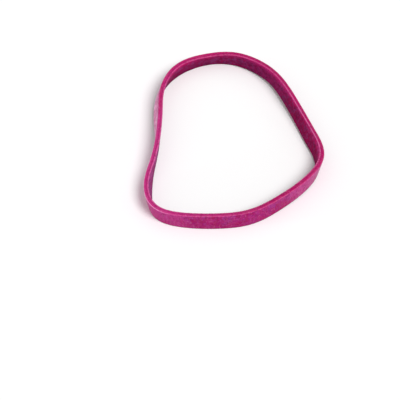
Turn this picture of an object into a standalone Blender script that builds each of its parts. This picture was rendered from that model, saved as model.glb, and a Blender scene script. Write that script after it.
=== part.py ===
# A rubber band, lying open on a table on one of its cut faces.
# Metres, +Z up. The origin is under the middle of the loop, on the table.

import math

import bmesh
import bpy
import numpy as np

MM = 0.001

# Sizes of the band as it is made: a length of extruded rubber tube, pressed flat, and a slice cut off it
FLAT_LENGTH = 63.5 * MM
CUT_WIDTH = 3.1 * MM
WALL_THICKNESS = 0.95 * MM
CORNER_RADIUS = 0.08 * MM

# How finely the solid is drawn, and the turn past which an edge is shaded sharp
RINGS_PER_STATION = 10
POINTS_PER_CORNER = 3
SHARP_TURN = math.radians(30.0)

# How the loop lies, as stations round the middle of its section, counterclockwise from above.
# Each row is x and y in millimetres, the lean of the wall in degrees, and the lift off the table in millimetres.
# A wall with a positive lean has its top edge further out than its bottom edge.
# Only the loop's form counts here: its size comes from FLAT_LENGTH.
STATIONS = (
    (-4.0, -23.5, 0.0, 0.0),
    (3.0, -22.3, 0.0, 0.0),
    (8.6, -18.4, 3.0, 0.1),
    (13.6, -13.2, 7.0, 0.3),
    (16.0, -7.0, 16.0, 0.1),
    (14.7, -0.7, 22.0, 0.0),
    (12.7, 5.4, 17.0, 0.2),
    (10.4, 11.7, 14.0, 0.5),
    (7.4, 17.8, 4.0, 0.4),
    (2.0, 22.6, -8.0, 0.1),
    (-4.5, 23.1, -20.0, 0.0),
    (-10.5, 19.5, -12.0, 0.2),
    (-13.6, 13.0, -18.0, 0.6),
    (-14.2, 6.0, -19.0, 0.8),
    (-14.1, -1.0, -7.0, 0.7),
    (-14.9, -8.0, -4.0, 0.3),
    (-15.7, -15.4, 12.0, 0.0),
    (-13.0, -22.0, 8.0, 0.0),
)

# Colour and finish of the dyed rubber, as linear red, green, blue
RUBBER_COLOUR = (0.51, 0.026, 0.19, 1.0)
RUBBER_ROUGHNESS = 0.6


def clear_scene():
    """Remove whatever objects the file opened with."""
    for thing in list(bpy.data.objects):
        bpy.data.objects.remove(thing, do_unlink=True)


def make_rubber():
    """The one material: dyed natural rubber with a faint powdery surface."""
    rubber = bpy.data.materials.new("rubber")
    rubber.use_nodes = True
    shader = rubber.node_tree.nodes["Principled BSDF"]
    shader.inputs["Base Color"].default_value = RUBBER_COLOUR
    shader.inputs["Roughness"].default_value = RUBBER_ROUGHNESS
    shader.inputs["Metallic"].default_value = 0.0
    rubber.diffuse_color = RUBBER_COLOUR
    return rubber


def length_around():
    """The length round the middle of the wall, which folds back on itself at both ends when pressed flat."""
    straight = FLAT_LENGTH - 2.0 * WALL_THICKNESS
    return 2.0 * straight + math.pi * WALL_THICKNESS


def spline_slopes(values):
    """Slopes at the stations that make a closed cubic curve bend evenly, as a springy strip does."""
    count = len(values)
    matrix = 4.0 * np.eye(count) + np.roll(np.eye(count), 1, axis=0) + np.roll(np.eye(count), -1, axis=0)
    return np.linalg.solve(matrix, 3.0 * (np.roll(values, -1, axis=0) - np.roll(values, 1, axis=0)))


def level_slopes(values):
    """Slopes that never overshoot a station, so two equal stations have a level stretch between them."""
    ahead = np.roll(values, -1) - values
    behind = values - np.roll(values, 1)
    product = ahead * behind
    total = np.where(product > 0.0, ahead + behind, 1.0)
    return np.where(product > 0.0, 2.0 * product / total, 0.0)


def between_stations(values, slopes):
    """Points of the closed curve, RINGS_PER_STATION for each station."""
    following = np.roll(values, -1, axis=0)
    following_slopes = np.roll(slopes, -1, axis=0)
    steps = []
    for ring in range(RINGS_PER_STATION):
        t = ring / RINGS_PER_STATION
        rise = t * t * (3.0 - 2.0 * t)
        steps.append(
            values * (1.0 - rise)
            + following * rise
            + slopes * (t * (1.0 - t) ** 2)
            - following_slopes * (t * t * (1.0 - t))
        )
    return np.stack(steps, axis=1).reshape((-1,) + values.shape[1:])


def loop_path():
    """Middle of the section, outward direction and lean at every ring, at the band's real length."""
    table = np.array(STATIONS)
    plan = between_stations(table[:, :2], spline_slopes(table[:, :2]))
    lean = np.radians(between_stations(table[:, 2], level_slopes(table[:, 2])))
    lift = between_stations(table[:, 3], level_slopes(table[:, 3])) * MM

    along = np.roll(plan, -1, axis=0) - plan
    plan = plan * (length_around() / np.linalg.norm(along, axis=1).sum())

    heading = np.roll(plan, -1, axis=0) - np.roll(plan, 1, axis=0)
    heading = heading / np.linalg.norm(heading, axis=1)[:, None]
    outward = np.stack([heading[:, 1], -heading[:, 0], np.zeros(len(plan))], axis=1)

    half_height = 0.5 * CUT_WIDTH * np.cos(lean) + 0.5 * WALL_THICKNESS * np.abs(np.sin(lean))
    middle = np.column_stack([plan, lift + half_height])
    return middle, outward, lean


def section_outline():
    """The cut section as (outward, upward) pairs, counterclockwise: a strip with its four corners just rounded."""
    side = 0.5 * WALL_THICKNESS - CORNER_RADIUS
    top = 0.5 * CUT_WIDTH - CORNER_RADIUS
    corners = ((side, -top, -90.0), (side, top, 0.0), (-side, top, 90.0), (-side, -top, 180.0))
    outline = []
    for across, up, first_angle in corners:
        for point in range(POINTS_PER_CORNER):
            angle = math.radians(first_angle + 90.0 * point / (POINTS_PER_CORNER - 1))
            outline.append((across + CORNER_RADIUS * math.cos(angle), up + CORNER_RADIUS * math.sin(angle)))
    return outline


def band_points():
    """Every ring of the solid, as an array of rings by outline points by three."""
    middle, outward, lean = loop_path()
    upward = np.array([0.0, 0.0, 1.0])
    across = outward * np.cos(lean)[:, None] - upward * np.sin(lean)[:, None]
    up_the_wall = outward * np.sin(lean)[:, None] + upward * np.cos(lean)[:, None]
    rings = []
    for out, up in section_outline():
        rings.append(middle + across * out + up_the_wall * up)
    rings = np.stack(rings, axis=1)

    low = rings.min(axis=(0, 1))
    high = rings.max(axis=(0, 1))
    return rings - np.array([0.5 * (low[0] + high[0]), 0.5 * (low[1] + high[1]), 0.0])


def make_band(rubber):
    """The band itself: one closed ring of rubber."""
    rings = band_points()
    ring_count, point_count = rings.shape[:2]
    shape = bmesh.new()
    corners = [[shape.verts.new(point) for point in ring] for ring in rings]
    for ring in range(ring_count):
        here = corners[ring]
        there = corners[(ring + 1) % ring_count]
        for point in range(point_count):
            beside = (point + 1) % point_count
            shape.faces.new((here[point], here[beside], there[beside], there[point]))
    bmesh.ops.recalc_face_normals(shape, faces=shape.faces)

    mesh = bpy.data.meshes.new("band")
    shape.to_mesh(mesh)
    shape.free()
    mesh.materials.append(rubber)
    mesh.shade_smooth()
    mesh.set_sharp_from_angle(angle=SHARP_TURN)
    band = bpy.data.objects.new("band", mesh)
    bpy.context.scene.collection.objects.link(band)
    return band


clear_scene()
make_band(make_rubber())
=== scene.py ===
# A dyed rubber band lying open on a white table, with its surface, the light and the camera.
# Metres, +Z up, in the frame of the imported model.

import math

import bpy
import numpy as np
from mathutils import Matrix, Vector


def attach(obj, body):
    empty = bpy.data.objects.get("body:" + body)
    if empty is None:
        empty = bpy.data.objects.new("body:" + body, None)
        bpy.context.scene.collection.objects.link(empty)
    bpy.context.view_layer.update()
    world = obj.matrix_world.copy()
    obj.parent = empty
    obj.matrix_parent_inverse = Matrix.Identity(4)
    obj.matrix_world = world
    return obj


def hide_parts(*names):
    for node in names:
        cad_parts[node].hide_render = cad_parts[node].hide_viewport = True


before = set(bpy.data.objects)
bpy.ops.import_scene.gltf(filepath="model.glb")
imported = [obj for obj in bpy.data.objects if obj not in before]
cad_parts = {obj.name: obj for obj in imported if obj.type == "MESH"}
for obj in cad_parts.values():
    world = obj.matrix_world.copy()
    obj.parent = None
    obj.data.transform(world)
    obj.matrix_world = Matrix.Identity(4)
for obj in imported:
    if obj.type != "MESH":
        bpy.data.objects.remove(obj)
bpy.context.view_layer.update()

MM = 0.001

# The band as it is made: a length of extruded rubber tube, pressed flat, and a slice cut off it
FLAT_LENGTH = 63.5 * MM
CUT_WIDTH = 3.1 * MM
WALL_THICKNESS = 0.95 * MM
CORNER_RADIUS = 0.08 * MM

# How the loop lies, as stations round the middle of its section, counterclockwise from above.
# Each row is x and y in millimetres, the lean of the wall in degrees, and the lift off the table in
# millimetres. A wall with a positive lean has its top edge further out than its bottom edge.
STATIONS = (
    (-4.0, -23.5, 0.0, 0.0),
    (3.0, -22.3, 0.0, 0.0),
    (8.6, -18.4, 3.0, 0.1),
    (13.6, -13.2, 7.0, 0.3),
    (16.0, -7.0, 16.0, 0.1),
    (14.7, -0.7, 22.0, 0.0),
    (12.7, 5.4, 17.0, 0.2),
    (10.4, 11.7, 14.0, 0.5),
    (7.4, 17.8, 4.0, 0.4),
    (2.0, 22.6, -8.0, 0.1),
    (-4.5, 23.1, -20.0, 0.0),
    (-10.5, 19.5, -12.0, 0.2),
    (-13.6, 13.0, -18.0, 0.6),
    (-14.2, 6.0, -19.0, 0.8),
    (-14.1, -1.0, -7.0, 0.7),
    (-14.9, -8.0, -4.0, 0.3),
    (-15.7, -15.4, 12.0, 0.0),
    (-13.0, -22.0, 8.0, 0.0),
)
RINGS_PER_STATION = 60
POINTS_ROUND_SECTION = 72

# The small relief: how deep each kind goes, and the depth that lies on the plain section
THICKNESS_WANDER = 0.036 * MM
WIDTH_WANDER = 0.050 * MM
EXTRUSION_LINES = 0.014 * MM
KNIFE_RIPPLE = 0.016 * MM
CORNER_WEAR = 0.045 * MM
RELIEF_LEVEL = 0.016 * MM
# How large the features of each kind are, and how far the seed moves the whole pattern
THICKNESS_WANDER_SIZE = 5.0 * MM
WIDTH_WANDER_SIZE = 4.0 * MM
EXTRUSION_LINE_SIZE = 0.35 * MM
KNIFE_RIPPLE_SIZE = 0.28 * MM
CORNER_WEAR_SIZE = 0.60 * MM
RELIEF_SEED = 7.0 * MM
# Where the relief of a skin and of a cut face starts and is full, from 0 mid-section to 1 at that face
RELIEF_SKIN_EDGE = (0.80, 0.97)
RELIEF_CUT_EDGE = (0.90, 0.99)

# Colours as linear red, green, blue
FRESH_RUBBER = (0.450, 0.005, 0.115, 1.0)
SKIN_MAGENTA = (0.395, 0.004, 0.142, 1.0)
SKIN_PINK = (0.485, 0.020, 0.202, 1.0)
SKIN_VIOLET = (0.345, 0.025, 0.250, 1.0)
# A crimson cast of the skin, also laid low on the outside as painted shade
SKIN_CRIMSON_AND_SHADE = (0.390, 0.002, 0.088, 1.0)
# Painted light: a lighter rose for the sides right and left of the near stretch
SKIN_PAINTED_LIGHT = (0.610, 0.044, 0.285, 1.0)
CUT_PINK = (0.560, 0.036, 0.245, 1.0)
INNER_CRIMSON = (0.480, 0.003, 0.110, 1.0)
INNER_LILAC = (0.370, 0.060, 0.250, 1.0)
INNER_HAZE = (0.520, 0.026, 0.220, 1.0)
# Painted light: a brighter red for the far inside, just under its top cut
INNER_PAINTED_LIGHT = (0.640, 0.008, 0.170, 1.0)
TALC = (0.950, 0.490, 0.745, 1.0)
# Partly wear and partly a painted highlight on the corners
WORN_AND_HIGHLIT_CORNER = (0.760, 0.220, 0.480, 1.0)
# A dark colour for specks, and for painted shade and shadow inside
DARK_FLECK_AND_SHADE = (0.200, 0.003, 0.065, 1.0)

# How large the features of the colour are
GRAIN_SIZE = 0.30 * MM
FLECK_SIZE = 0.46 * MM
HUE_SIZE = 0.70 * MM
PATCH_SIZE = 1.3 * MM
CLOUD_SIZE = 2.2 * MM
LINE_SIZE = 0.34 * MM
SCRAPE_SIZE = 0.20 * MM
SMEAR_SIZE = 0.45 * MM
# A pattern is drawn out where its place is squeezed: extrusion lines from one cut to the other,
# and scrapes and smears along the band. Patches are squashed a little instead.
RELIEF_LINE_SQUEEZE = 0.08
LINE_SQUEEZE = 0.10
SCRAPE_SQUEEZE = 0.12
SMEAR_SQUEEZE = 0.14
PATCH_SQUASH = 1.5
# How far the pattern of scrapes moves from the middle of a cut face to its edge, in millimetres
SCRAPE_SPREAD = 0.3

# Soft edges across the wall, from -1 on the inside to 1 on the outside. Each says where something starts
# and where it is full.
INSIDE_EDGE = (0.1, -0.7)
OUTSIDE_EDGE = (0.55, 0.85)
INNER_CORNER_EDGE = (-0.38, -0.80)
OUTER_CORNER_EDGE = (0.72, 0.96)
# A darker line along the middle of each cut face
MIDDLE_LINE_INNER_EDGE = (-0.55, -0.25)
MIDDLE_LINE_OUTER_EDGE = (0.30, -0.10)
# The same up and down, from -1 at the top cut to 1 at the bottom one
# Painted shade, darker towards the bottom of the outside
LOW_OUTER_SHADE_EDGE = (-0.5, 0.9)
# Painted shade, darker towards the bottom of the inside
LOW_INNER_SHADE_EDGE = (-0.8, 0.6)
# Painted light, brighter towards the top of the inside
HIGH_PAINTED_LIGHT_EDGE = (-0.10, -1.0)
HIGH_TALC_LOSS_EDGE = (-0.3, -1.1)
# The same from 0 halfway up to 1 at either cut
CUT_EDGE = (0.945, 0.985)
RIM_EDGE = (0.90, 0.965)

# Places round the band. Each is a turn on the round tube in degrees, and then how near to it something
# starts and is full. Nearness is 1 at the turn itself and -1 on the far side of the tube.
# Outside, talc lies thick and thin, and painted light makes the skin lighter and rosy right and left of the
# near stretch, where those sides catch more light
THICK_TALC_PLACE = (262.0, 0.58, 0.95)
THIN_TALC_PLACE = (75.0, 0.75, 1.0)
RIGHT_PAINTED_LIGHT_PLACE = (68.0, 0.90, 0.99)
LEFT_PAINTED_LIGHT_PLACE = (328.0, 0.95, 0.99)
# The inside is lilac, carries painted shadow at one stretch and painted light under its top corner on the
# far side, and is hazy
LILAC_PLACE = (300.0, 0.20, 0.90)
# Painted shadow on the inside, the second narrower and darker
SHADOWED_INSIDE_PLACE = (208.0, 0.30, 1.0)
DARKEST_SHADOWED_INSIDE_PLACE = (208.0, 0.86, 1.0)
# The far side of the inside, where painted light is laid and the lilac is stronger
FAR_INSIDE_PLACE = (180.0, 0.20, 0.80)
HAZE_PLACE = (150.0, 0.88, 1.0)
# The cut faces are pink and crimson
PINK_CUT_PLACE = (300.0, -0.30, 0.90)
CRIMSON_CUT_PLACE = (246.0, 0.97, 0.995)
# The outer and the inner corners are most worn, and carry painted highlights there as well
OUTER_WEAR_AND_HIGHLIGHT_PLACE = (308.0, 0.86, 0.97)
INNER_WEAR_AND_HIGHLIGHT_PLACE = (90.0, 0.50, 0.95)

# The finish of the rubber. Dust makes the skins rougher, and bloom is a soft pale sheen
ROUGHNESS = 0.52
DUST_ROUGHNESS = 0.25
SPECULAR_LEVEL = 0.05
BLOOM = 0.50
BLOOM_ROUGHNESS = 0.32
BLOOM_TINT = (1.0, 0.86, 0.95, 1.0)
BUMP_STRENGTH = 0.6
BUMP_DEPTH = 0.02 * MM

# The photograph's camera: what it aims at, how high it looks from, how far off it is, and its field there
CAMERA_AIM = (-6.33 * MM, -17.94 * MM, 1.58 * MM)
CAMERA_ELEVATION = 43.0
CAMERA_DISTANCE = 296.0 * MM
FIELD_WIDTH = 71.43 * MM
SENSOR_WIDTH = 36.0
NEAREST_SEEN = 0.1 * CAMERA_DISTANCE
FURTHEST_SEEN = 100.0 * CAMERA_DISTANCE

# Light, in parts of the level at which a white card facing up renders white
SKY_LEVEL = 0.46
# Each lamp has its level, the side it stands on, its height and its spread, the last three in degrees
LAMPS = {
    "key": (0.73, 40.0, 50.0, 30.0),
    "low_left": (0.60, -80.0, 1.5, 3.0),
    "low_right": (0.17, 70.0, 3.0, 3.0),
}
# How white the table is to the camera, and to the band, and how far it reaches in metres
TABLE_SEEN = 0.99
TABLE_BOUNCE = 0.30
TABLE_SIZE = 6.0


class Value:
    """The output of a node. Arithmetic on it adds Math nodes to its tree."""

    def __init__(self, tree, socket):
        self.tree = tree
        self.socket = socket

    def maths(self, operation, *others):
        """A Math node whose first value is this one."""
        return self.tree.node("ShaderNodeMath", {"operation": operation}, dict(enumerate((self, *others))))

    def __add__(self, other):
        return self.maths("ADD", other)

    def __sub__(self, other):
        return self.maths("SUBTRACT", other)

    def __mul__(self, other):
        return self.maths("MULTIPLY", other)

    __radd__ = __add__
    __rmul__ = __mul__

    def __rsub__(self, other):
        return self * -1.0 + other

    def __truediv__(self, other):
        return self.maths("DIVIDE", other)

    def __neg__(self):
        return self * -1.0

    def __abs__(self):
        return self.maths("ABSOLUTE")

    def step(self, start, full):
        """0 at start and 1 at full, whichever is larger, with an even ease between and level beyond."""
        rising = start < full
        sockets = {"Value": self, "From Min": min(start, full), "From Max": max(start, full)}
        sockets["To Min"] = 0.0 if rising else 1.0
        sockets["To Max"] = 1.0 if rising else 0.0
        return self.tree.node("ShaderNodeMapRange", {"interpolation_type": "SMOOTHSTEP"}, sockets)


class Tree:
    """A node tree, which node() fills."""

    def __init__(self, node_tree):
        self.nodes = node_tree.nodes
        self.links = node_tree.links

    def node(self, kind, settings=None, inputs=None, output=0):
        """Adds a node of a type, with its settings and the values or links of its sockets."""
        made = self.nodes.new(kind)
        for name, setting in (settings or {}).items():
            setattr(made, name, setting)
        for name, value in (inputs or {}).items():
            if isinstance(value, Value):
                self.links.new(value.socket, made.inputs[name])
            else:
                made.inputs[name].default_value = value
        return Value(self, made.outputs[output]) if made.outputs else made

    def vector(self, operation, *values):
        """A Vector Math node."""
        return self.node("ShaderNodeVectorMath", {"operation": operation}, dict(enumerate(values)))

    def parts(self, vector):
        """The x, y and z of a vector."""
        split = self.node("ShaderNodeSeparateXYZ", {}, {0: vector}).socket.node
        return [Value(self, socket) for socket in split.outputs]

    def joined(self, x, y, z):
        """A vector of three values."""
        return self.node("ShaderNodeCombineXYZ", {}, {0: x, 1: y, 2: z})

    def noise(self, place, size, detail=2.0, roughness=0.5, distortion=0.0):
        """Cloudy noise, from 0 to 1 about 0.5, with features of the given size in metres."""
        sockets = {"Vector": place, "Scale": 1.0 / size, "Detail": detail, "Roughness": roughness}
        return self.node("ShaderNodeTexNoise", {}, {**sockets, "Distortion": distortion})

    def blend(self, share, first, second):
        """A colour: share of the second over the first."""
        settings = {"data_type": "RGBA", "clamp_factor": True}
        return self.node("ShaderNodeMix", settings, {0: share, 6: first, 7: second}, output=2)

    def layered(self, colour, *layers):
        """A colour with others laid over it in turn, each given as its share and itself."""
        for share, over in layers:
            colour = self.blend(share, colour, over)
        return colour

    def keep(self, geometry, name, kind, value):
        """Stores a value on the points of a geometry under a name."""
        return self.node(
            "GeometryNodeStoreNamedAttribute",
            {"data_type": kind, "domain": "POINT"},
            {"Geometry": geometry, "Name": name, "Value": value},
        )

    def kept(self, name, kind):
        """The value that was stored on the points under a name."""
        return self.node("GeometryNodeInputNamedAttribute", {"data_type": kind}, {"Name": name})


def emptied_tree(owner):
    """The node tree of a new material or world, with nothing in it."""
    owner.use_nodes = True
    tree = Tree(owner.node_tree)
    tree.nodes.clear()
    return tree


def grey(level):
    """A neutral colour of the given level, where 1 is white."""
    return (level, level, level, 1.0)


def placed(name, data):
    """A new object in the scene."""
    made = bpy.data.objects.new(name, data)
    bpy.context.scene.collection.objects.link(made)
    return made


def length_around():
    """The length round the middle of the wall, which folds back on itself at both ends when pressed flat."""
    straight = FLAT_LENGTH - 2.0 * WALL_THICKNESS
    return 2.0 * straight + math.pi * WALL_THICKNESS


def spline_slopes(values):
    """Slopes at the stations that make a closed cubic curve bend evenly, as a springy strip does."""
    count = len(values)
    matrix = 4.0 * np.eye(count) + np.roll(np.eye(count), 1, axis=0) + np.roll(np.eye(count), -1, axis=0)
    return np.linalg.solve(matrix, 3.0 * (np.roll(values, -1, axis=0) - np.roll(values, 1, axis=0)))


def level_slopes(values):
    """Slopes that never overshoot a station, so two equal stations have a level stretch between them."""
    ahead = np.roll(values, -1) - values
    behind = values - np.roll(values, 1)
    product = ahead * behind
    total = np.where(product > 0.0, ahead + behind, 1.0)
    return np.where(product > 0.0, 2.0 * product / total, 0.0)


def between_stations(values, slopes):
    """Points of the closed curve, RINGS_PER_STATION for each station."""
    following = np.roll(values, -1, axis=0)
    following_slopes = np.roll(slopes, -1, axis=0)
    steps = []
    for ring in range(RINGS_PER_STATION):
        t = ring / RINGS_PER_STATION
        rise = t * t * (3.0 - 2.0 * t)
        steps.append(
            values * (1.0 - rise)
            + following * rise
            + slopes * (t * (1.0 - t) ** 2)
            - following_slopes * (t * t * (1.0 - t))
        )
    return np.stack(steps, axis=1).reshape((-1,) + values.shape[1:])


def loop_path():
    """Middle of the section and lean of the wall at every ring, with the loop centred over the origin."""
    table = np.array(STATIONS)
    plan = between_stations(table[:, :2], spline_slopes(table[:, :2]))
    lean = np.radians(between_stations(table[:, 2], level_slopes(table[:, 2])))
    lift = between_stations(table[:, 3], level_slopes(table[:, 3])) * MM

    along = np.roll(plan, -1, axis=0) - plan
    plan = plan * (length_around() / np.linalg.norm(along, axis=1).sum())

    heading = np.roll(plan, -1, axis=0) - np.roll(plan, 1, axis=0)
    heading = heading / np.linalg.norm(heading, axis=1)[:, None]
    outward = np.stack([heading[:, 1], -heading[:, 0]], axis=1)

    reach = 0.5 * CUT_WIDTH * np.abs(np.sin(lean)) + 0.5 * WALL_THICKNESS * np.cos(lean)
    edges = np.concatenate([plan + outward * reach[:, None], plan - outward * reach[:, None]])
    plan = plan - 0.5 * (edges.min(axis=0) + edges.max(axis=0))

    half_height = 0.5 * CUT_WIDTH * np.cos(lean) + 0.5 * WALL_THICKNESS * np.abs(np.sin(lean))
    return np.column_stack([plan, lift + half_height]), lean


def guide_curve():
    """The loop's path as a closed curve, with the lean as its tilt."""
    places, lean = loop_path()
    curve = bpy.data.curves.new("band_path", "CURVE")
    curve.dimensions = "3D"
    curve.twist_mode = "Z_UP"
    spline = curve.splines.new("POLY")
    spline.points.add(len(places) - 1)
    spline.use_cyclic_u = True
    spline.points.foreach_set("co", np.column_stack([places, np.ones(len(places))]).ravel())
    spline.points.foreach_set("tilt", lean)
    return placed("band_path", curve)


def band_sizes():
    """The sizes that the band's tree takes, under the names of its inputs."""
    return {
        "Cut width": CUT_WIDTH,
        "Wall": WALL_THICKNESS,
        "Corner radius": CORNER_RADIUS,
        "Length around": length_around(),
        "Thickness wander": THICKNESS_WANDER,
        "Width wander": WIDTH_WANDER,
        "Extrusion lines": EXTRUSION_LINES,
        "Knife ripple": KNIFE_RIPPLE,
        "Corner wear": CORNER_WEAR,
        "Relief level": RELIEF_LEVEL,
        "Seed": RELIEF_SEED,
        "Points round section": POINTS_ROUND_SECTION,
    }


def cut_section(tree, given):
    """The section of the band: a rectangle of many points, whose corners are pulled in to an arc."""
    rectangle = tree.node(
        "GeometryNodeCurvePrimitiveQuadrilateral",
        {"mode": "RECTANGLE"},
        {"Width": given["Wall"], "Height": given["Cut width"]},
    )
    section = tree.node(
        "GeometryNodeResampleCurve", {}, {"Curve": rectangle, "Count": given["Points round section"]}
    )
    place = tree.node("GeometryNodeInputPosition")
    radius = given["Corner radius"]
    inset = tree.joined(radius, radius, 0.0)
    half = tree.joined(given["Wall"] * 0.5, given["Cut width"] * 0.5, 0.0)
    inner_box = tree.vector("SUBTRACT", half, inset)
    opposite = tree.vector("MULTIPLY", inner_box, (-1.0, -1.0, -1.0))
    held = tree.vector("MAXIMUM", tree.vector("MINIMUM", place, inner_box), opposite)
    outwards = tree.vector("NORMALIZE", tree.vector("SUBTRACT", place, held))
    rounded = tree.vector("ADD", held, tree.vector("MULTIPLY", outwards, inset))
    section = tree.node("GeometryNodeSetPosition", {}, {"Geometry": section, "Position": rounded})
    return tree.keep(section, "section_place", "FLOAT_VECTOR", tree.vector("DIVIDE", place, half))


def tube_place(tree, given):
    """Where each point was on the round tube, so that patterns follow the rubber and meet without a seam."""
    turn = tree.kept("turn", "FLOAT")
    side, height, _ = tree.parts(tree.kept("section_place", "FLOAT_VECTOR"))
    radius = given["Length around"] / math.tau + side * given["Wall"] * 0.5
    level = height * given["Cut width"] * 0.5
    return tree.joined(turn.maths("COSINE") * radius, turn.maths("SINE") * radius, level)


def relief_offset(tree, given):
    """The relief of extruded and cut rubber: in or out by a few hundredths of a millimetre."""
    where = tree.kept("tube_place", "FLOAT_VECTOR")
    where = tree.vector("ADD", where, tree.joined(given["Seed"], 0.0, 0.0))
    x, y, z = tree.parts(where)
    side, height, _ = tree.parts(tree.kept("section_place", "FLOAT_VECTOR"))
    skin = abs(side).step(*RELIEF_SKIN_EDGE)
    cut = abs(height).step(*RELIEF_CUT_EDGE)
    corner = skin * cut
    slow = tree.noise(where, THICKNESS_WANDER_SIZE, detail=1.0)
    slow_across = tree.noise(tree.joined(y, x, z), WIDTH_WANDER_SIZE, detail=1.0)
    lines = tree.noise(tree.joined(x, y, z * RELIEF_LINE_SQUEEZE), EXTRUSION_LINE_SIZE, detail=2.0)
    ripple = tree.noise(tree.joined(x, y, 0.0), KNIFE_RIPPLE_SIZE, detail=1.0)
    wear = tree.noise(where, CORNER_WEAR_SIZE, detail=3.0, roughness=0.6).step(0.50, 0.75)
    depth = (
        skin * (slow * given["Thickness wander"] + lines * given["Extrusion lines"])
        + cut * (slow_across * given["Width wander"] + ripple * given["Knife ripple"])
        + corner * wear * given["Corner wear"]
        - given["Relief level"]
    )
    normal = tree.node("GeometryNodeInputNormal")
    return tree.vector("MULTIPLY", normal, tree.joined(-depth, -depth, -depth))


def band_tree(material):
    """Sweeps the cut section along the guide, then gives it the relief and its material."""
    group = bpy.data.node_groups.new("swept_band", "GeometryNodeTree")
    group.interface.new_socket(name="Guide", in_out="INPUT", socket_type="NodeSocketGeometry")
    for name, size in band_sizes().items():
        kind = "NodeSocketInt" if isinstance(size, int) else "NodeSocketFloat"
        group.interface.new_socket(name=name, in_out="INPUT", socket_type=kind)
    group.interface.new_socket(name="Band", in_out="OUTPUT", socket_type="NodeSocketGeometry")
    tree = Tree(group)
    outputs = tree.nodes.new("NodeGroupInput").outputs
    given = {socket.name: Value(tree, socket) for socket in outputs if socket.name}

    # The guide carries the turn that each point had on the round tube
    turn = tree.node("GeometryNodeSplineParameter") * math.tau
    path = tree.node("GeometryNodeSetCurveNormal", {"mode": "Z_UP"}, {"Curve": given["Guide"]})
    path = tree.keep(path, "turn", "FLOAT", turn)

    section = cut_section(tree, given)
    body = tree.node("GeometryNodeCurveToMesh", {}, {"Curve": path, "Profile Curve": section})
    body = tree.keep(body, "tube_place", "FLOAT_VECTOR", tube_place(tree, given))
    relief = relief_offset(tree, given)
    body = tree.node("GeometryNodeSetPosition", {}, {"Geometry": body, "Offset": relief})

    body = tree.node("GeometryNodeSetShadeSmooth", {}, {"Geometry": body})
    body = tree.node("GeometryNodeRealizeInstances", {}, {"Geometry": body})
    body = tree.node("GeometryNodeSetMaterial", {}, {"Geometry": body, "Material": material})
    result = tree.nodes.new("NodeGroupOutput")
    tree.links.new(body.socket, result.inputs["Band"])
    return group


def make_band(material):
    """The band: the guide dressed by the tree, then turned into a plain mesh."""
    guide = guide_curve()
    group = band_tree(material)
    sizes = band_sizes()
    sweep = guide.modifiers.new("sweep", "NODES")
    sweep.node_group = group
    for socket in group.interface.items_tree:
        if socket.name in sizes:
            sweep[socket.identifier] = sizes[socket.name]
    view = bpy.context.evaluated_depsgraph_get()
    mesh = bpy.data.meshes.new_from_object(guide.evaluated_get(view), depsgraph=view)
    guide.modifiers.remove(sweep)
    bpy.data.objects.remove(guide)
    mesh.name = "rubber_band"
    mesh.shade_smooth()
    return placed("rubber_band", mesh)


class Rubber:
    """Where a point of the rubber lies, and the masks and noises that the parts of its finish share.

    In those parts, plain numbers in a step are levels of a noise, and others weigh colours and noises.
    """

    def __init__(self, tree):
        self.tree = tree
        place = tree.node("ShaderNodeAttribute", {"attribute_name": "tube_place"}, output="Vector")
        section = tree.node("ShaderNodeAttribute", {"attribute_name": "section_place"}, output="Vector")
        x, y, z = tree.parts(place)
        self.tube = (x, y, z)
        # side is -1 on the inside and 1 on the outside, and height is -1 at the top cut and 1 at the bottom
        self.side, self.height, _ = tree.parts(section)
        self.inside = self.side.step(*INSIDE_EDGE)
        self.outside = self.side.step(*OUTSIDE_EDGE)
        self.cut = abs(self.height).step(*CUT_EDGE)
        self.uncut = 1.0 - self.cut
        self.lilac_stretch = self.near(LILAC_PLACE)

        self.grain = tree.noise(place, GRAIN_SIZE, detail=3.0, roughness=0.6)
        self.fleck = tree.noise(tree.joined(y, z, x), FLECK_SIZE, detail=3.0, roughness=0.6)
        self.patch = tree.noise(tree.joined(y, z * PATCH_SQUASH, x), PATCH_SIZE, detail=2.0, roughness=0.6)
        self.cloud = tree.noise(place, CLOUD_SIZE, detail=3.0, roughness=0.6, distortion=0.6)
        self.lines = tree.noise(tree.joined(x, y, z * LINE_SQUEEZE), LINE_SIZE, detail=2.0)
        hue = tree.noise(tree.joined(z, x, y), HUE_SIZE, detail=3.0, roughness=0.7)
        self.cast = hue * 0.75 + self.cloud * 0.25
        self.haze = self.cloud.step(0.46, 0.62)
        self.dust = (self.grain * 0.9 + self.lines * 0.5 + self.cloud * 0.4 - 0.40).step(0.30, 0.85)

    def towards(self, turn):
        """About 1 where the round tube faced the given turn, and -1 on its far side."""
        x, y, _ = self.tube
        angle = math.radians(turn)
        return (x * math.cos(angle) + y * math.sin(angle)) * (math.tau / length_around())

    def near(self, place):
        """1 at a place round the band, easing to 0 away from it."""
        turn, start, full = place
        return self.towards(turn).step(start, full)


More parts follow.
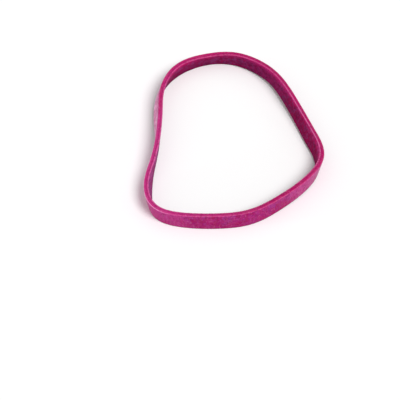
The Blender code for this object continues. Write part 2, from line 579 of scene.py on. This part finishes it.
def outer_skin(rubber):
    """The outside: magenta with violet, crimson and pink casts, lighter and rosy with painted light at two
    places, and darker with painted shade low down.
    """
    violet = rubber.cast.step(0.48, 0.58) * 0.50 + rubber.haze * 0.22
    crimson = rubber.cast.step(0.49, 0.42) * 0.80
    pink = rubber.patch.step(0.44, 0.58) * 0.60
    # Painted light makes the skin lighter at two places, and painted shade darkens it low down
    painted_side_light = rubber.near(RIGHT_PAINTED_LIGHT_PLACE) + rubber.near(LEFT_PAINTED_LIGHT_PLACE) * 0.9
    painted_low_shade = rubber.height.step(*LOW_OUTER_SHADE_EDGE) * 0.34
    return rubber.tree.layered(
        SKIN_MAGENTA,
        (violet, SKIN_VIOLET),
        (crimson, SKIN_CRIMSON_AND_SHADE),
        (pink, SKIN_PINK),
        (painted_side_light * (rubber.cloud * 0.8 + 0.25), SKIN_PAINTED_LIGHT),
        (painted_low_shade, SKIN_CRIMSON_AND_SHADE),
    )


def inner_skin(rubber):
    """The inside: crimson with lilac and hazy stretches, painted shadow at one stretch and painted shade low
    down, and painted light high up on the far side.
    """
    far_side = rubber.near(FAR_INSIDE_PLACE)
    lilac = rubber.cast.step(0.47, 0.55) * (0.48 + far_side * 0.22)
    lilac = lilac + rubber.haze * (0.06 + far_side * 0.14)
    lilac = lilac + rubber.lilac_stretch * 0.70
    hazy = rubber.near(HAZE_PLACE) * 0.70
    # Painted shade: darker low down and at two stretches, laid together with dark patches
    painted_low_shade = rubber.height.step(*LOW_INNER_SHADE_EDGE)
    painted_shade_and_patches = rubber.near(SHADOWED_INSIDE_PLACE) * 0.12 + rubber.near(DARKEST_SHADOWED_INSIDE_PLACE) * 0.28
    painted_shade_and_patches = painted_shade_and_patches * (0.3 + painted_low_shade * 1.3) + rubber.patch.step(0.48, 0.58) * 0.36
    # Painted light: brighter just under the top cut on the far side
    painted_light = rubber.height.step(*HIGH_PAINTED_LIGHT_EDGE) * far_side * 0.55
    return rubber.tree.layered(
        INNER_CRIMSON,
        (lilac, INNER_LILAC),
        (hazy, INNER_HAZE),
        (painted_shade_and_patches, DARK_FLECK_AND_SHADE),
        (painted_light, INNER_PAINTED_LIGHT),
    )


def talc_share(rubber):
    """How much talc lies on the skins: thick smears on one side, less under its top cut, and thin dust."""
    x, y, z = rubber.tube
    # The clouds make the edge of the thick talc wander
    turn, start, full = THICK_TALC_PLACE
    thick_side = (rubber.towards(turn) + rubber.cloud * 0.5 - 0.25).step(start, full)
    thin_side = rubber.near(THIN_TALC_PLACE)
    smear_place = rubber.tree.joined(x * SMEAR_SQUEEZE, y * SMEAR_SQUEEZE, z)
    smear = rubber.tree.noise(smear_place, SMEAR_SIZE, detail=4.0, roughness=0.65)
    streak = (smear * 0.70 + rubber.cloud * 0.20 + rubber.grain * 0.10).step(0.40, 0.58)
    talc = rubber.dust * (0.06 + thick_side * 0.30 + thin_side * 0.09)
    talc = talc + thick_side * (0.06 + streak * 0.66) + thin_side * 0.02
    talc = talc * (1.0 - thick_side * rubber.height.step(*HIGH_TALC_LOSS_EDGE) * 0.75)
    return talc * (1.0 - rubber.inside * 0.90)


def cut_face(rubber):
    """The bare cut faces: crimson or pink, with faint scrapes and a darker line along their middle."""
    x, y, z = rubber.tube
    pink = rubber.near(PINK_CUT_PLACE) * 0.60
    pink = pink * (1.0 - rubber.near(CRIMSON_CUT_PLACE) * 0.8)
    across = z + rubber.side * SCRAPE_SPREAD * MM
    scrape_place = rubber.tree.joined(x * SCRAPE_SQUEEZE, y * SCRAPE_SQUEEZE, across)
    scrape = rubber.tree.noise(scrape_place, SCRAPE_SIZE, detail=2.0)
    # A darker line along the middle of the cut face
    middle_line = rubber.side.step(*MIDDLE_LINE_INNER_EDGE) * rubber.side.step(*MIDDLE_LINE_OUTER_EDGE)
    return rubber.tree.layered(
        FRESH_RUBBER,
        (pink, CUT_PINK),
        (scrape.step(0.45, 0.70) * 0.05, TALC),
        (middle_line * (0.15 + scrape * 0.40), DARK_FLECK_AND_SHADE),
    )


def worn_and_highlit_corners(rubber, colour):
    """A colour with a pale line along the inner and the outer corners, partly worn and partly a painted
    highlight.
    """
    rim = abs(rubber.height).step(*RIM_EDGE)
    # Wear and painted highlight: the rounded corners catch light as well as being worn
    wear = rubber.near(INNER_WEAR_AND_HIGHLIGHT_PLACE) * 0.40 + rubber.lilac_stretch * 0.30
    inner = rubber.side.step(*INNER_CORNER_EDGE) * (wear + 0.36)
    outer = rubber.side.step(*OUTER_CORNER_EDGE) * rubber.near(OUTER_WEAR_AND_HIGHLIGHT_PLACE) * 0.90
    outer = outer + rubber.outside * 0.12
    return rubber.tree.layered(
        colour,
        (rim * inner * (0.25 + rubber.grain * 0.8), WORN_AND_HIGHLIT_CORNER),
        (rim * outer * (0.25 + rubber.grain), TALC),
    )


def specked(rubber, colour):
    """A colour with dark and light specks all over it."""
    dark = rubber.fleck.step(0.46, 0.76) * (0.56 + rubber.inside * 0.24)
    light = rubber.grain.step(0.48, 0.80) * (0.13 - rubber.inside * rubber.uncut * 0.10)
    return rubber.tree.layered(colour, (dark, DARK_FLECK_AND_SHADE), (light, TALC))


def dyed_rubber():
    """Magenta rubber: bare on the cut faces, dusted with talc on the skins, worn along the corners with
    painted highlights there, and with painted light and shade on the skins.
    """
    material = bpy.data.materials.new("dyed_rubber")
    tree = emptied_tree(material)
    rubber = Rubber(tree)

    skin = tree.blend(rubber.inside, outer_skin(rubber), inner_skin(rubber))
    skin = tree.blend(talc_share(rubber), skin, TALC)
    colour = tree.blend(rubber.cut, skin, cut_face(rubber))
    colour = specked(rubber, worn_and_highlit_corners(rubber, colour))

    bumps = rubber.grain * 0.6 + rubber.lines * rubber.uncut * 0.5 + rubber.fleck * 0.3
    relief = {"Strength": BUMP_STRENGTH, "Distance": BUMP_DEPTH, "Height": bumps}

    # The outside of the tube carries a bloom, which reaches over the outer corners. The rest is plain
    plain = {
        "Base Color": colour,
        "Roughness": ROUGHNESS + rubber.dust * DUST_ROUGHNESS * rubber.uncut,
        "Normal": tree.node("ShaderNodeBump", {}, relief),
        "Specular IOR Level": SPECULAR_LEVEL,
    }
    bloom = {"Sheen Weight": BLOOM, "Sheen Roughness": BLOOM_ROUGHNESS, "Sheen Tint": BLOOM_TINT}
    plain_shader = tree.node("ShaderNodeBsdfPrincipled", {}, plain)
    bloom_shader = tree.node("ShaderNodeBsdfPrincipled", {}, {**plain, **bloom})
    shaders = {0: rubber.outside, 1: plain_shader, 2: bloom_shader}
    surface = tree.node("ShaderNodeMixShader", {}, shaders)
    tree.node("ShaderNodeOutputMaterial", {}, {"Surface": surface})
    return material


def make_table():
    """The white table. To the camera it is white, and it returns less light than that to the band."""
    material = bpy.data.materials.new("white_table")
    tree = emptied_tree(material)
    rays = tree.node("ShaderNodeLightPath", output="Is Camera Ray")
    bounce = tree.node("ShaderNodeBsdfDiffuse", {}, {"Color": grey(TABLE_BOUNCE)})
    seen = tree.node("ShaderNodeBsdfDiffuse", {}, {"Color": grey(TABLE_SEEN)})
    surface = tree.node("ShaderNodeMixShader", {}, {0: rays, 1: bounce, 2: seen})
    tree.node("ShaderNodeOutputMaterial", {}, {"Surface": surface})

    half = 0.5 * TABLE_SIZE
    corners = [(-half, -half, 0.0), (half, -half, 0.0), (half, half, 0.0), (-half, half, 0.0)]
    mesh = bpy.data.meshes.new("table_top")
    mesh.from_pydata(corners, [], [(0, 1, 2, 3)])
    mesh.materials.append(material)
    return placed("table_top", mesh)


def direction(side, height):
    """Towards a lamp or the camera, in degrees: side is 0 in front and 90 on the right."""
    around, up = math.radians(side), math.radians(height)
    return Vector((math.sin(around) * math.cos(up), -math.cos(around) * math.cos(up), math.sin(up)))


def light_scene():
    """An even pale sky, a broad lamp high on the right, and two that graze the table from either side."""
    world = bpy.data.worlds.new("studio")
    tree = emptied_tree(world)
    rays = tree.node("ShaderNodeLightPath", output="Is Camera Ray")
    strength = rays * (1.0 - SKY_LEVEL) + SKY_LEVEL
    sky = tree.node("ShaderNodeBackground", {}, {"Color": grey(1.0), "Strength": strength})
    tree.node("ShaderNodeOutputWorld", {}, {"Surface": sky})
    bpy.context.scene.world = world

    for name, (level, side, height, spread) in LAMPS.items():
        lamp = bpy.data.lights.new(name, "SUN")
        lamp.energy = math.pi * level
        lamp.angle = math.radians(spread)
        stand = placed(name, lamp)
        stand.rotation_euler = direction(side, height).to_track_quat("Z", "Y").to_euler()


def place_camera():
    """The photograph's view: from the front, looking down."""
    camera = bpy.data.cameras.new("camera")
    camera.sensor_width = SENSOR_WIDTH
    camera.lens = SENSOR_WIDTH * CAMERA_DISTANCE / FIELD_WIDTH
    camera.clip_start = NEAREST_SEEN
    camera.clip_end = FURTHEST_SEEN
    viewer = placed("camera", camera)
    back = direction(0.0, CAMERA_ELEVATION)
    viewer.location = Vector(CAMERA_AIM) + back * CAMERA_DISTANCE
    viewer.rotation_euler = back.to_track_quat("Z", "Y").to_euler()
    bpy.context.scene.camera = viewer


place_camera()
light_scene()
make_table()

band = make_band(dyed_rubber())
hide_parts("band")
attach(band, "root")

bpy.context.scene.view_settings.view_transform = "Standard"
